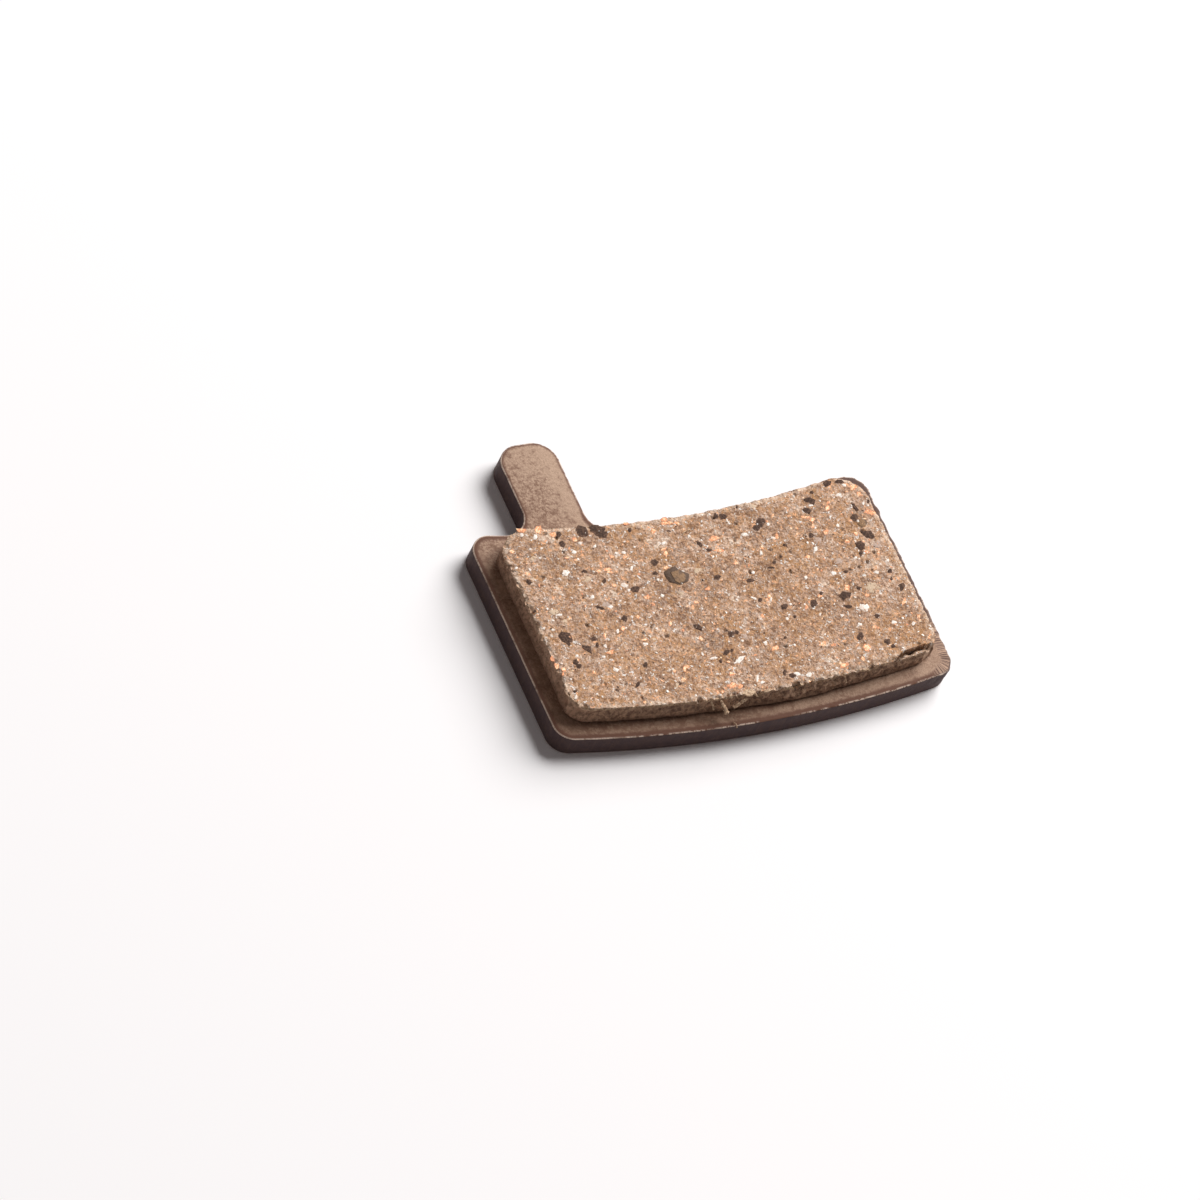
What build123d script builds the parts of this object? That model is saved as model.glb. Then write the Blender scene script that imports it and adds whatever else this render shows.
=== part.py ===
from build123d import *
from math import hypot, isclose, sqrt
import os

# A bicycle disc brake pad: a friction block moulded onto a stamped steel backing plate.
# The pad lies on its back on z = 0 with the friction face up and the tab towards +Y.
# Both edges of the pad that cross it from side to side are arcs about the rotor's axis.

# Backing plate, all in millimetres
plate_width = 36.0
plate_height = 19.35  # along the centreline, between the outer and the inner edge
plate_thickness = 1.95
plate_corner_radius = 1.7
plate_edge_roll = 0.3  # the rounding that the stamping die leaves around the front face
outer_edge_radius = 102.0

# Tab that stands out of the plate's inner edge
tab_inset = 5.7  # from the plate's left side to the tab's left side
tab_width = 5.1
tab_reach = 9.4  # from the inner edge on the centreline to the tab's end
tab_end_radius = 1.95
tab_root_radius = 2.0

# Friction block
block_thickness = 1.8
block_outer_corner_radius = 1.75
block_inner_corner_radius = 2.55
side_ledge = 1.45  # bare plate left around the block
outer_ledge = 1.65
inner_ledge = 0.65

# The flake that has broken off the block's outer right corner
chip_along_outer_edge = 4.0
chip_along_side = 1.2
chip_depth = 0.6

# Places worked out from these sizes, with the origin under the middle of the whole pad
outer_edge_y = -(plate_height + tab_reach) / 2
tab_end_y = (plate_height + tab_reach) / 2
rotor_axis_y = outer_edge_y + outer_edge_radius
inner_edge_radius = outer_edge_radius - plate_height
tab_middle_x = -plate_width / 2 + tab_inset + tab_width / 2
block_width = plate_width - 2 * side_ledge
block_outer_radius = outer_edge_radius - outer_ledge
block_inner_radius = inner_edge_radius + inner_ledge
pad_thickness = plate_thickness + block_thickness


def ring_slice(width, outer_radius, inner_radius, outer_corner_radius, inner_corner_radius):
    """A straight-sided slice of a ring about the rotor's axis, below it, with rounded corners."""
    ring = Circle(outer_radius) - Circle(inner_radius)
    strip = Rectangle(width, outer_radius, align=(Align.CENTER, Align.MAX))
    outer_corners = (ring & strip).vertices().sort_by(Axis.Y)[:2]
    outline = fillet(outer_corners, outer_corner_radius)
    inner_corners = outline.vertices().sort_by(Axis.Y)[-2:]
    return Pos(0, rotor_axis_y) * fillet(inner_corners, inner_corner_radius)


def beside_tab(vertex):
    """Whether a corner of the plate's outline lies on one of the tab's two sides."""
    return isclose(abs(vertex.X - tab_middle_x), tab_width / 2, abs_tol=1e-6)


def backing_plate():
    """One stamping: the ring slice and its tab, with the die's rounding around the front face."""
    corners = (plate_corner_radius, plate_corner_radius)
    outline = ring_slice(plate_width, outer_edge_radius, inner_edge_radius, *corners)
    tab_foot_y = outer_edge_y + plate_height / 2
    tab = Rectangle(tab_width, tab_end_y - tab_foot_y, align=(Align.CENTER, Align.MIN))
    outline += Pos(tab_middle_x, tab_foot_y) * tab
    tab_ends = outline.vertices().filter_by(beside_tab).sort_by(Axis.Y)[-2:]
    outline = fillet(tab_ends, tab_end_radius)
    tab_roots = outline.vertices().filter_by(beside_tab).sort_by(Axis.Y)[:2]
    outline = fillet(tab_roots, tab_root_radius)
    plate = extrude(outline, plate_thickness)
    front_rim = plate.faces().sort_by(Axis.Z)[-1].outer_wire().edges()
    return fillet(front_rim, plate_edge_roll)


def corner_chip():
    """What the flake took: all that lies above one sloping plane through the block's outer right corner."""
    side_x = block_width / 2
    edge_x = side_x - chip_along_outer_edge
    corner_y = rotor_axis_y - sqrt(block_outer_radius**2 - side_x**2)
    on_edge = Vector(edge_x, rotor_axis_y - sqrt(block_outer_radius**2 - edge_x**2), pad_thickness)
    on_side = Vector(side_x, corner_y + chip_along_side, pad_thickness)
    under_corner = Vector(side_x, corner_y, pad_thickness - chip_depth)
    along = on_side - on_edge
    upwards = along.cross(on_side - under_corner)
    break_plane = Plane(on_edge, x_dir=along, z_dir=upwards)
    reach = 2 * hypot(chip_along_outer_edge, block_thickness)
    return break_plane * Box(2 * reach, 2 * reach, reach, align=(Align.CENTER, Align.CENTER, Align.MIN))


def friction_pad():
    """The moulded block, face up on the plate, with its broken corner."""
    corners = (block_outer_corner_radius, block_inner_corner_radius)
    outline = ring_slice(block_width, block_outer_radius, block_inner_radius, *corners)
    block = Pos(0, 0, plate_thickness) * extrude(outline, block_thickness)
    return block - corner_chip()


os.makedirs("parts", exist_ok=True)
export_step(backing_plate(), "parts/backing_plate.step")
export_step(friction_pad(), "parts/friction_pad.step")
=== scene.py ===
import math

import bpy
import numpy as np
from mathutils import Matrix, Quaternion, Vector, noise


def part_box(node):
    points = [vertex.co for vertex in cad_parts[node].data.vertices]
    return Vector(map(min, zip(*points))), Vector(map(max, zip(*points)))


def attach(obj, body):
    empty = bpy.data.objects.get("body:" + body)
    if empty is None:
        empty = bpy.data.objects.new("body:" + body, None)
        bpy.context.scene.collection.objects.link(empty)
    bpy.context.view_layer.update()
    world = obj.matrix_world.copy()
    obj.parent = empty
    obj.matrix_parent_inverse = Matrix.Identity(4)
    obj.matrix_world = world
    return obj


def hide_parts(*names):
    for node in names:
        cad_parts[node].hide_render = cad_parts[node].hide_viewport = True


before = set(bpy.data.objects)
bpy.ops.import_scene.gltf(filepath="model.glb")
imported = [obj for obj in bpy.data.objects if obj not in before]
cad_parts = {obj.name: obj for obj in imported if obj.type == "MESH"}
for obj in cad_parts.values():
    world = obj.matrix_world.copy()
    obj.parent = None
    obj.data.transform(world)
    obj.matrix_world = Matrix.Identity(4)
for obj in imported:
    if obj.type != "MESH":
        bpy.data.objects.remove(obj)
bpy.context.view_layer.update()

# The stage: a pale table top under one large soft light that stands behind the pad on its right, a weak even
# fill, and a camera with a long lens that looks down on the friction face from the front left.
MM = 0.001
table_drop = 0.02 * MM
table_half = 4.0
table_bounce = (0.7, 0.68, 0.68, 1.0)
table_seen = (1.0, 0.98, 0.981, 1.0)
studio_white = (1.0, 1.0, 1.0, 1.0)
fill_strength = 0.13
fill_tint = (1.0, 0.91, 0.9, 1.0)
soft_light_turn = math.radians(27.0)
soft_light_rise = math.radians(40.0)
soft_light_distance = 1.4
soft_light_size = 1.1
soft_light_watts = 32.0
camera_place = Vector((-300.6, -283.9, 479.3)) * MM
camera_aim = Vector((-8.1, 0.15, 0.0)) * MM
camera_roll = math.radians(28.44)
camera_lens = 240.0
camera_sensor = 36.0
camera_clip_end = 20.0

scene = bpy.context.scene
scene.view_settings.view_transform = "Standard"


class Tone:
    """One socket of a node tree. Sums, differences, products and quotients of tones add Math nodes."""

    def __init__(self, tree, socket=None):
        self.tree = tree
        self.socket = socket

    def node(self, kind, settings, inputs, output=0):
        """Adds a node, its settings first and then its sockets, and gives one of its outputs."""
        made = self.tree.nodes.new(kind)
        for name, value in settings.items():
            if name == "stops":
                lay_stops(made.color_ramp, value)
            else:
                setattr(made, name, value)
        for name, value in inputs.items():
            if isinstance(value, Tone):
                self.tree.links.new(value.socket, made.inputs[name])
            else:
                made.inputs[name].default_value = value
        return Tone(self.tree, made.outputs[output]) if made.outputs else None

    def other(self, output):
        """Another output of the node that this tone comes from."""
        return Tone(self.tree, self.socket.node.outputs[output])

    def math(self, operation, first, second):
        return self.node("ShaderNodeMath", {"operation": operation}, {0: first, 1: second})

    def __add__(self, other):
        return self.math("ADD", self, other)

    def __radd__(self, other):
        return self.math("ADD", other, self)

    def __sub__(self, other):
        return self.math("SUBTRACT", self, other)

    def __rsub__(self, other):
        return self.math("SUBTRACT", other, self)

    def __mul__(self, other):
        return self.math("MULTIPLY", self, other)

    def __rmul__(self, other):
        return self.math("MULTIPLY", other, self)

    def __truediv__(self, other):
        return self.math("DIVIDE", self, other)

    def most(self, other):
        """The larger of this tone and another one."""
        return self.math("MAXIMUM", self, other)

    def step(self, low, high):
        """Rises smoothly from 0 at low to 1 at high."""
        settings = {"interpolation_type": "SMOOTHSTEP"}
        return self.node("ShaderNodeMapRange", settings, {"Value": self, "From Min": low, "From Max": high})

    def fall(self, low, high):
        """Drops smoothly from 1 at low to 0 at high."""
        return 1.0 - self.step(low, high)

    def blend(self, under, over):
        """The colour under, covered by the colour over where this tone is 1."""
        return self.node("ShaderNodeMix", {"data_type": "RGBA"}, {0: self, 6: under, 7: over}, 2)

    def vector(self, operation, inputs):
        return self.node("ShaderNodeVectorMath", {"operation": operation}, {0: self, **inputs})

    def scaled(self, amount):
        """This vector times a number."""
        return self.vector("SCALE", {"Scale": amount})

    def shift(self, along, amount):
        """This vector, moved by another one times an amount."""
        return self.vector("ADD", {1: along.scaled(amount)})

    def moved(self, across, along, up):
        """This vector, moved by fixed amounts, so that a pattern is read at another place."""
        return self.vector("ADD", {1: (across, along, up)})

    def stretch(self, across, along, up):
        """This vector with each of its axes scaled."""
        return self.vector("MULTIPLY", {1: (across, along, up)})

    def axis(self, name):
        """One of this vector's three parts."""
        return self.node("ShaderNodeSeparateXYZ", {}, {"Vector": self}, name)

    def noise(self, per_mm, detail=2.0, roughness=0.5):
        sockets = {"Vector": self, "Scale": per_mm, "Detail": detail, "Roughness": roughness}
        return self.node("ShaderNodeTexNoise", {}, sockets)

    def cells(self, per_mm):
        return self.node("ShaderNodeTexVoronoi", {"feature": "F1"}, {"Vector": self, "Scale": per_mm})

    def chance(self, axis):
        """One of the three random numbers of the cell that a cell pattern shows."""
        return self.other("Color").axis(axis)

    def ramp(self, stops):
        return self.node("ShaderNodeValToRGB", {"stops": stops}, {"Fac": self})

    def known(self, label, output="Fac"):
        """What a mesh's points hold under a label, in a material."""
        return self.node("ShaderNodeAttribute", {"attribute_name": label}, {}, output)

    def stored(self, label):
        """The number that a mesh's points hold under a label, in Geometry Nodes."""
        return self.node("GeometryNodeInputNamedAttribute", {"data_type": "FLOAT"}, {"Name": label})


def lay_stops(ramp, stops):
    """Sets a colour ramp's stops, given as places and colours."""
    while len(ramp.elements) < len(stops):
        ramp.elements.new(1.0)
    for element, (place, colour) in zip(ramp.elements, stops):
        element.position = place
        element.color = colour


def feed(shader, **values):
    """Links tones to a shader's sockets, named with underscores for spaces, or sets them to numbers."""
    for name, value in values.items():
        socket = shader.inputs[name.replace("_", " ")]
        if isinstance(value, Tone):
            value.tree.links.new(value.socket, socket)
        else:
            socket.default_value = value


def seen_white(tree):
    """1 for the rays that show the background itself: the camera's, a reflection's and a clear piece's."""
    from_camera = Tone(tree).node("ShaderNodeLightPath", {}, {}, "Is Camera Ray")
    return from_camera.most(from_camera.other("Is Glossy Ray")).most(from_camera.other("Is Transmission Ray"))


world = bpy.data.worlds.new("studio")
world.use_nodes = True
world_seen = seen_white(world.node_tree)
feed(world.node_tree.nodes["Background"], Strength=fill_strength + world_seen * (1.0 - fill_strength),
     Color=world_seen.blend(fill_tint, studio_white))
scene.world = world

table_material = bpy.data.materials.new("pale_table")
table_material.use_nodes = True
table_tree = table_material.node_tree
table_colour = seen_white(table_tree).blend(table_bounce, table_seen)
feed(table_tree.nodes["Principled BSDF"], Base_Color=table_colour, Roughness=1.0, Specular_IOR_Level=0.0)
table_mesh = bpy.data.meshes.new("table")
table_corners = [(x * table_half, y * table_half) for x, y in ((-1, -1), (1, -1), (1, 1), (-1, 1))]
table_mesh.from_pydata([(x, y, -table_drop) for x, y in table_corners], [], [(0, 1, 2, 3)])
table_mesh.materials.append(table_material)
table = bpy.data.objects.new("table", table_mesh)
scene.collection.objects.link(table)

soft_light_data = bpy.data.lights.new("soft_light", "AREA")
soft_light_data.shape = "DISK"
soft_light_data.size = soft_light_size
soft_light_data.energy = soft_light_watts
soft_light = bpy.data.objects.new("soft_light", soft_light_data)
soft_light_level = math.cos(soft_light_rise)
soft_light_towards = Vector((
    soft_light_level * math.cos(soft_light_turn),
    soft_light_level * math.sin(soft_light_turn),
    math.sin(soft_light_rise),
))
soft_light.location = soft_light_towards * soft_light_distance
soft_light.rotation_mode = "QUATERNION"
soft_light.rotation_quaternion = soft_light_towards.to_track_quat("Z", "Y")
scene.collection.objects.link(soft_light)

camera_data = bpy.data.cameras.new("camera")
camera_data.lens = camera_lens
camera_data.sensor_width = camera_sensor
camera_data.clip_end = camera_clip_end
camera = bpy.data.objects.new("camera", camera_data)
camera.location = camera_place
camera.rotation_mode = "QUATERNION"
camera_turn = (camera_aim - camera_place).to_track_quat("-Z", "Y") @ Quaternion((0.0, 0.0, 1.0), camera_roll)
camera.rotation_quaternion = camera_turn
scene.collection.objects.link(camera)
scene.camera = camera

# The backing plate: fine-blanked steel about 2 mm thick, with an off-centre tab that slides into the caliper.
# Its long edges are arcs about the rotor's axis, the punch has rolled its front edge over, and its thin brown
# coat has stains, and is darker towards the lower left. Pairs give where a change across or up the plate
# starts and ends.
plate_low, plate_high = (np.array(corner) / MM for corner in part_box("backing_plate"))
plate_half = plate_high[0]
plate_front = plate_high[2]
tab_end_y = plate_high[1]
outer_edge_radius = 102.0
plate_height = 19.35
plate_corner = 1.7
tab_inset = 5.7
tab_width = 5.1
tab_left = plate_low[0] + tab_inset
tab_right = tab_left + tab_width
tab_end_corner = 1.95
tab_root = 2.0
edge_roll_width = 0.32
edge_roll_depth = 0.1
edge_roll_steps = 10
back_break = 0.08
back_break_middle = 0.3 * back_break
wall_rows = 10
ledge_rows = (0.42, 0.6, 0.8, 1.0, 1.25, 1.5)
outline_step = 0.14
edge_wander = 0.02
wander_per_mm = 0.9
right_scallop = 0.16
scallop_per_mm = 1.7
edge_nick = 0.07
nick_per_mm = 2.3
nick_shift = Vector((7.0, 3.0, 0.0))
nick_threshold = 0.38
nick_drop = 0.6
coat_top = (0.455, 0.3, 0.211, 1.0)
# The rubbed tone is the tab's rubbed coat and also the painted light on the left ledge.
coat_rubbed_and_lit = (0.567, 0.388, 0.276, 1.0)
coat_dull = (0.34, 0.212, 0.142, 1.0)
coat_stain_and_shade = (0.19, 0.098, 0.06, 1.0)
coat_rim = (0.14, 0.062, 0.038, 1.0)
coat_shaded = (0.11, 0.06, 0.046, 1.0)
coat_stroke = (0.52, 0.34, 0.24, 1.0)
coat_wall = (0.076, 0.048, 0.049, 1.0)
coat_wall_brown = (0.108, 0.066, 0.058, 1.0)
coat_worn = (0.66, 0.51, 0.41, 1.0)
tab_start = (3.5, 6.0)
tab_upper = (10.0, 12.5)
tab_rim_start = (6.3, 7.6)
tab_smudge_end = (tab_left + 2.5, tab_left + 4.1)
tab_dots_end = (tab_left + 2.5, tab_left + 4.3)
left_worn_end = (tab_left + 0.2, tab_left + 0.9)
left_ledge_end = (-plate_half + 1.4, -plate_half + 2.2)
left_painted_light_stain_end = (2.5, 4.0)
left_painted_light_start = (-0.5, 1.5)
left_painted_light_end = (2.6, 3.6)
low_ledge_end = (-9.0, -7.0)
painted_foot_shadow_start = (-4.0, -1.0)
painted_foot_shadow_end = (8.0, 11.0)
painted_foot_shadow_insets = (0.95, 1.4)
bare_start = (plate_half - 7.5, plate_half - 4.5)
bare_stain_end = (plate_half - 4.2, plate_half - 3.0)
right_ledge_start = (plate_half - 2.6, plate_half - 1.2)

rotor_axis = np.array((0.0, plate_low[1] + outer_edge_radius))
inner_edge_radius = outer_edge_radius - plate_height


def on_ring(x, radius):
    """The point at x, on the pad's side of the rotor's axis, that far from the axis."""
    return np.array((x, rotor_axis[1] - math.sqrt(radius**2 - x**2)))


def away(point):
    """The direction, as an angle, that leads from the rotor's axis through a point."""
    return math.atan2(*(point - rotor_axis)[::-1])


def arc_run(centre, radius, start, end, outward):
    """Points along an arc, each followed by the direction that leads out of the plate there."""
    angles = np.linspace(start, end, math.ceil(abs(end - start) * radius / outline_step), endpoint=False)
    spokes = np.column_stack((np.cos(angles), np.sin(angles)))
    return np.hstack((np.array(centre) + radius * spokes, outward * spokes))


def straight_run(start, end, outward):
    """Points along a straight edge, each followed by the direction that leads out of the plate there."""
    start, end = np.array(start), np.array(end)
    steps = np.linspace(0.0, 1.0, math.ceil(np.linalg.norm(end - start) / outline_step), endpoint=False)
    return np.hstack((start + steps[:, None] * (end - start), np.tile(outward, (len(steps), 1))))


def plate_outline():
    """The plate's outline with its outward directions, anticlockwise from the left end of the outer edge."""
    mirror = np.array((-1.0, 1.0))
    outer_corner = on_ring(plate_half - plate_corner, outer_edge_radius - plate_corner)
    inner_corner = on_ring(plate_half - plate_corner, inner_edge_radius + plate_corner)
    right_root = on_ring(tab_right + tab_root, inner_edge_radius - tab_root)
    left_root = on_ring(tab_left - tab_root, inner_edge_radius - tab_root)
    end_corner_y = tab_end_y - tab_end_corner
    end_right = (tab_right - tab_end_corner, end_corner_y)
    end_left = (tab_left + tab_end_corner, end_corner_y)
    half_turn = math.pi
    return np.vstack((
        arc_run(rotor_axis, outer_edge_radius, away(outer_corner * mirror), away(outer_corner), 1),
        arc_run(outer_corner, plate_corner, away(outer_corner), 0.0, 1),
        straight_run((plate_half, outer_corner[1]), (plate_half, inner_corner[1]), (1.0, 0.0)),
        arc_run(inner_corner, plate_corner, 0.0, away(inner_corner) + half_turn, 1),
        arc_run(rotor_axis, inner_edge_radius, away(inner_corner), away(right_root), -1),
        arc_run(right_root, tab_root, away(right_root), -half_turn, -1),
        straight_run((tab_right, right_root[1]), (tab_right, end_corner_y), (1.0, 0.0)),
        arc_run(end_right, tab_end_corner, 0.0, half_turn / 2, 1),
        straight_run((end_right[0], tab_end_y), (end_left[0], tab_end_y), (0.0, 1.0)),
        arc_run(end_left, tab_end_corner, half_turn / 2, half_turn, 1),
        straight_run((tab_left, end_corner_y), (tab_left, left_root[1]), (-1.0, 0.0)),
        arc_run(left_root, tab_root, 0.0, away(left_root), -1),
        arc_run(rotor_axis, inner_edge_radius, away(left_root), away(inner_corner * mirror), -1),
        arc_run(inner_corner * mirror, plate_corner, away(inner_corner * mirror) + half_turn, half_turn, 1),
        straight_run((-plate_half, inner_corner[1]), (-plate_half, outer_corner[1]), (-1.0, 0.0)),
        arc_run(outer_corner * mirror, plate_corner, -half_turn, away(outer_corner * mirror), 1),
    ))


def plate_section():
    """The plate's section at its edge, from back to front: how far in from the outline, and how high."""
    roll_foot = plate_front - edge_roll_depth
    section = [(back_break, 0.0), (back_break_middle, back_break_middle)]
    section += [(0.0, z) for z in np.linspace(back_break, roll_foot, wall_rows, endpoint=False)]
    for angle in np.linspace(0.0, math.pi / 2, edge_roll_steps):
        inset = edge_roll_width * (1.0 - math.cos(angle))
        section.append((inset, roll_foot + edge_roll_depth * math.sin(angle)))
    return section + [(inset, plate_front) for inset in ledge_rows]


def plate_points(outline, section):
    """The plate's points ring by ring, with an edge that wanders and is nicked, and what each point knows."""
    points = []
    insets = []
    feet = []
    for inset, height in section:
        near_edge = max(0.0, 1.0 - inset / edge_roll_width) * min(1.0, height / plate_front)
        for x, y, out_x, out_y in outline:
            place = Vector((x, y, height))
            wander = edge_wander * noise.noise(place * wander_per_mm)
            wander += right_scallop * noise.noise(place * scallop_per_mm) * (x > plate_half - plate_corner)
            past_threshold = max(0.0, noise.noise(place * nick_per_mm + nick_shift) - nick_threshold)
            nick = edge_nick * past_threshold / (1.0 - nick_threshold)
            back = inset + near_edge * (wander + nick)
            points.append((x - out_x * back, y - out_y * back, height - nick_drop * near_edge * nick))
            insets.append(inset)
            feet.append((x, y, 0.0))
    return np.array(points), {"inset": insets, "foot": feet}


def ring_faces(ring_count, ring_size):
    """The faces between rings of points that each follow the one before, closed by a face at both ends."""
    faces = [tuple(range(ring_size))[::-1]]
    for ring in range(ring_count - 1):
        low = ring * ring_size
        for here in range(ring_size):
            there = (here + 1) % ring_size
            faces.append((low + here, low + there, low + ring_size + there, low + ring_size + here))
    faces.append(tuple(range((ring_count - 1) * ring_size, ring_count * ring_size)))
    return faces


def solid(name, points, faces, sharp_degrees, attributes):
    """An object of points in mm, smooth except across sharp edges, with numbers or vectors per point."""
    mesh = bpy.data.meshes.new(name)
    mesh.from_pydata((np.array(points) * MM).tolist(), [], faces)
    mesh.shade_smooth()
    mesh.set_sharp_from_angle(angle=math.radians(sharp_degrees))
    for label, values in attributes.items():
        values = np.array(values, dtype=np.float32)
        kind, field = ("FLOAT", "value") if values.ndim == 1 else ("FLOAT_VECTOR", "vector")
        mesh.attributes.new(label, kind, "POINT").data.foreach_set(field, values.ravel())
    made = bpy.data.objects.new(name, mesh)
    scene.collection.objects.link(made)
    return made


def finish_start(name):
    """A new material: itself, its shader, and the piece's own coordinates in mm."""
    material = bpy.data.materials.new(name)
    material.use_nodes = True
    tree = material.node_tree
    place = Tone(tree).node("ShaderNodeTexCoord", {}, {}, "Object").scaled(1.0 / MM)
    return material, tree.nodes["Principled BSDF"], place


def bumped(height, depth_mm):
    """A surface normal from a height of 0 to 1 that stands for a depth in mm."""
    return height.node("ShaderNodeBump", {}, {"Distance": depth_mm * MM, "Height": height}, "Normal")


def coat_front(place, across, up, inset, mottled):
    """The coat on the plate's front: mottled, darker and with more stains towards the lower left, with
    painted light on the left ledge, smudged on the tab's left half.
    """
    on_tab = up.step(*tab_start)
    top = mottled.blend(on_tab.blend(coat_dull, coat_top), on_tab.blend(coat_top, coat_rubbed_and_lit))
    # Darker towards the lower left, where the stains also spread wider.
    lower_left_darkening = (0.3 * across + 0.15 * up).fall(-2.7, -0.1)
    stains = place.moved(5.0, 2.0, 0.0).noise(1.5, 6.0, 0.7)
    stains_and_darkening = 0.24 * lower_left_darkening + (0.75 - 0.24 * lower_left_darkening) * stains.step(0.58 - 0.14 * lower_left_darkening, 0.7 - 0.12 * lower_left_darkening)
    left_end = across.fall(*left_ledge_end)
    # Painted light on the left end of the ledge, low down: its stains and darkening are thinned there, and a
    # band of it is lightened.
    stains_and_darkening = stains_and_darkening * (1.0 - 0.3 * left_end * up.fall(*left_painted_light_stain_end))
    left_ledge_painted_light = left_end * up.step(*left_painted_light_start) * up.fall(*left_painted_light_end)
    top = stains_and_darkening.blend((0.25 * left_ledge_painted_light).blend(top, coat_rubbed_and_lit), coat_stain_and_shade)
    specks = place.moved(9.0, 3.0, 0.0).noise(4.5, 4.0, 0.75)
    smudges = place.moved(1.0, 6.0, 0.0).noise(0.55, 3.0, 0.6).step(0.42, 0.62)
    tab_smudge = on_tab * across.fall(*tab_smudge_end) * (1.0 - 0.6 * up.step(*tab_upper))
    smudged = 0.65 * smudges * (1.0 - on_tab) + 0.65 * tab_smudge
    top = ((0.1 + smudged) * specks.step(0.44, 0.6)).blend(top, coat_stain_and_shade)
    dots = place.moved(3.0, 7.0, 0.0).noise(1.9, 3.0, 0.65).step(0.59, 0.66)
    top = (0.6 * dots * on_tab * across.fall(*tab_dots_end)).blend(top, coat_stain_and_shade)
    # Painted shadow: a band of the lower ledge along the block's foot is darkened in the stain colour.
    painted_foot_shadow = inset.step(*painted_foot_shadow_insets) * up.fall(*low_ledge_end)
    painted_foot_shadow = painted_foot_shadow * across.step(*painted_foot_shadow_start) * across.fall(*painted_foot_shadow_end)
    return (0.5 * painted_foot_shadow).blend(top, coat_stain_and_shade)


def coat_finish():
    """The plate's brown coat: its front, its red brown rolled edge, its dark wall and its worn corner."""
    material, shader, place = finish_start("brown_coat")
    inset = place.known("inset")
    across = place.axis("X")
    up = across.other("Y")
    grit = place.noise(9.0, 3.0, 0.65)
    mottle = place.noise(2.6, 5.0, 0.75)
    strokes = place.known("foot", "Vector").noise(6.5, 3.0, 0.7)
    right = across.step(*right_ledge_start)
    bare = across.step(*bare_start) * (1.0 - right)
    low_right = right * up.fall(*low_ledge_end)
    top = coat_front(place, across, up, inset, (0.5 * mottle + 0.5 * grit).step(0.41, 0.57))
    top = (0.2 * bare * across.fall(*bare_stain_end)).blend(top, coat_stain_and_shade)
    rim_edge = inset + 0.3 * (mottle - 0.5) + 0.2 * up.step(*tab_rim_start)
    rim_edge = rim_edge - 0.24 * right - 0.18 * low_right + 0.06 * bare
    stroked = strokes.step(0.44, 0.56) * low_right * inset.step(0.05, 0.2)
    rim = stroked.blend(right.blend(coat_rim, coat_shaded), coat_stroke)
    colour = rim_edge.fall(0.3, 0.6).blend(top, rim)
    blotches = 0.35 * strokes + 0.65 * place.moved(6.0, 1.0, 4.0).noise(1.6, 4.0, 0.7)
    wall = blotches.step(0.4, 0.65).blend(coat_wall, coat_wall_brown)
    colour = inset.fall(0.004, 0.03).blend(colour, wall)
    corner = inset.step(0.0, 0.02) * inset.fall(0.06, 0.16)
    breaks = place.noise(0.6, 2.0).step(0.36, 0.56) * place.noise(3.2, 4.0, 0.75).step(0.42, 0.54)
    rubbed = 0.3 + 0.7 * place.moved(2.0, 2.0, 2.0).noise(1.1, 4.0, 0.7).step(0.4, 0.54)
    left = across.fall(*left_worn_end) * grit.step(0.25, 0.5) * rubbed
    colour = (corner * left.most(breaks)).blend(colour, coat_worn)
    feed(shader, Base_Color=colour, Roughness=0.5 + 0.25 * grit, Specular_IOR_Level=0.15,
         Normal=bumped(grit, 0.035))
    return material


outline = plate_outline()
section = plate_section()
points, edge_facts = plate_points(outline, section)
faces = ring_faces(len(section), len(outline))
plate = solid("backing_plate_coated", points, faces, sharp_degrees=50.0, attributes=edge_facts)
plate.data.materials.append(coat_finish())
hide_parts("backing_plate")
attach(plate, "root")

# The friction block: a moulded brake compound of resin, fibre, mineral grains and metal flakes, ground flat
# on the front and bonded to the plate. Its walls are rough, its edges crumble, and its lower right corner is
# chipped. Each bite out of its edge is a pixel of the photograph, a radius and a depth.
block_low, block_high = (np.array(corner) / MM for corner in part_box("friction_pad"))
block_half = block_high[0]
block_foot = block_low[2]
block_face = block_high[2]
outer_ledge = 1.65
inner_ledge = 0.65
block_outer_radius = outer_edge_radius - outer_ledge
block_inner_radius = inner_edge_radius + inner_ledge
block_outer_corner = 1.75
block_inner_corner = 2.55
face_row_step = 0.085
face_columns = 320
wall_levels = 16
widest_corner_turn = math.radians(7.0)
least_corner_reach = 0.02
edge_batch = 4096
edge_stride = 3
photo_side = 1200.0
chip_line = (
    (12.3, -11.95), (12.55, -11.6), (12.8, -11.45), (13.4, -11.33), (14.0, -11.24), (14.9, -11.1),
    (16.7, -11.12),
)
chip_jags = ((0.06, 4.0, 2.0), (0.05, 9.0, 9.0))
chip_jag_fade = 0.3
chip_crack_depth = 0.675
chip_crack_swing = 0.6
chip_crack_width = 0.4
chip_lip_drop = 0.25
chip_lip_swing = 0.1
chip_lip_end = 15.1
chip_lip_fade = 0.2
chip_end_drop = 0.5
chip_end_fall = 0.5
chip_facet_inset = 0.05
edge_bites_seen = [
    (700, 699.5, 0.25, 0.3), (740, 698.0, 0.3, 0.4), (761, 694.5, 0.4, 0.5), (797, 685.0, 0.35, 0.45),
    (812, 683.5, 0.3, 0.3), (822, 682.0, 0.4, 0.5), (836, 677.5, 0.25, 0.3), (872, 667.5, 0.25, 0.3),
]
outer_band = 1.0
torn_start = (-7.0, -4.0)
torn_end = (13.0, 11.0)
frayed_start = (-14.5, -15.5)
foot_bulge_middle = 3.5
foot_bulge_width = 3.0
foot_bulge_share = 0.9
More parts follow.
